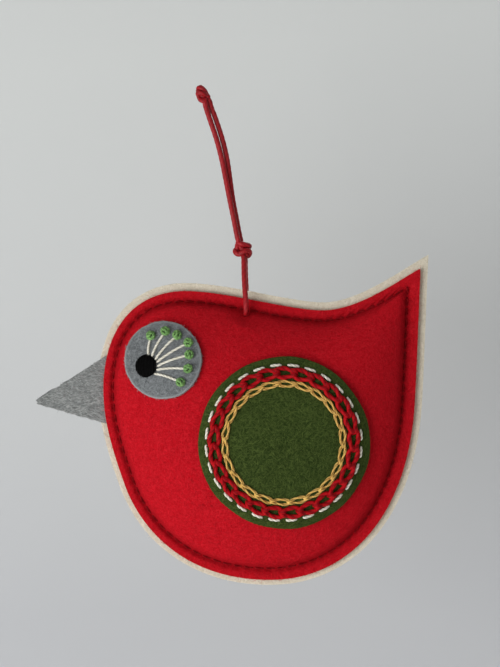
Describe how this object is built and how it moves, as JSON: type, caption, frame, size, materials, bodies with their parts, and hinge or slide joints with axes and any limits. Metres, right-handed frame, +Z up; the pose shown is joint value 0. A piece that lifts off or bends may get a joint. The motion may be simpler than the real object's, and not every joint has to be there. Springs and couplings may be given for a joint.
{
  "type": "bird ornament",
  "caption": "Stuffed felt bird with a stitched eye and an embroidered round wing, hanging from a doubled, knotted waxed cord.",
  "frame": {"origin": "where the doubled cord hangs, just under its top knot", "axes": "+Z up, the decorated side faces -Y, the beak points to -X"},
  "size_m": [0.1014, 0.0271, 0.1267],
  "materials": {
    "red_felt": "matte wool felt",
    "cream_felt": "matte wool felt",
    "grey_felt": "matte wool felt",
    "green_felt": "matte wool felt",
    "fibre_filling": "loose fibre",
    "waxed_cord": "waxed twisted cotton",
    "white_thread": "twisted cotton",
    "red_thread": "stranded cotton",
    "gold_thread": "stranded cotton",
    "green_thread": "stranded cotton",
    "black_thread": "satin stitch",
    "cream_thread": "sewing thread"
  },
  "bodies": {
    "hanger": {"top_knot": "waxed_cord", "cord_strand_left": "waxed_cord", "cord_strand_right": "waxed_cord"},
    "knot": {"lower_knot": "waxed_cord"},
    "loop": {"lower_loop": "waxed_cord"},
    "bird": {"beak_felt": "grey_felt", "cream_back_felt": "cream_felt", "eye_disc": "grey_felt", "filling": "fibre_filling", "french_knot_1": "green_thread", "french_knot_2": "green_thread", "french_knot_3": "green_thread", "french_knot_4": "green_thread", "french_knot_5": "green_thread", "french_knot_6": "green_thread", "french_knot_7": "green_thread", "gold_chain_stitch": "gold_thread", "lash_stitch_1": "white_thread", "lash_stitch_2": "white_thread", "lash_stitch_3": "white_thread", "lash_stitch_4": "white_thread", "lash_stitch_5": "white_thread", "lash_stitch_6": "white_thread", "lash_stitch_7": "white_thread", "pupil_stitch": "black_thread", "red_chain_stitch": "red_thread", "red_front_felt": "red_felt", "seam_thread_back": "cream_thread", "seam_thread_front": "red_thread", "wing_disc": "green_felt", "wing_running_thread": "white_thread"}
  },
  "joints": [
    {"name": "twist", "type": "hinge", "parent": "hanger", "child": "knot", "pos_m": [0.0047, 0, -0.0378], "axis": [0.0722, 0, 0.9974], "range_deg": [-120, 120], "stiffness_Nm_per_rad": 0.00003},
    {"name": "swing", "type": "hinge", "parent": "knot", "child": "loop", "pos_m": [0.0047, 0, -0.0378], "axis": [1, 0, 0], "range_deg": [-60, 60]},
    {"name": "tilt", "type": "hinge", "parent": "loop", "child": "bird", "pos_m": [0.00353, 0, -0.05395], "axis": [0, 1, 0], "range_deg": [-70, 45]}
  ]
}
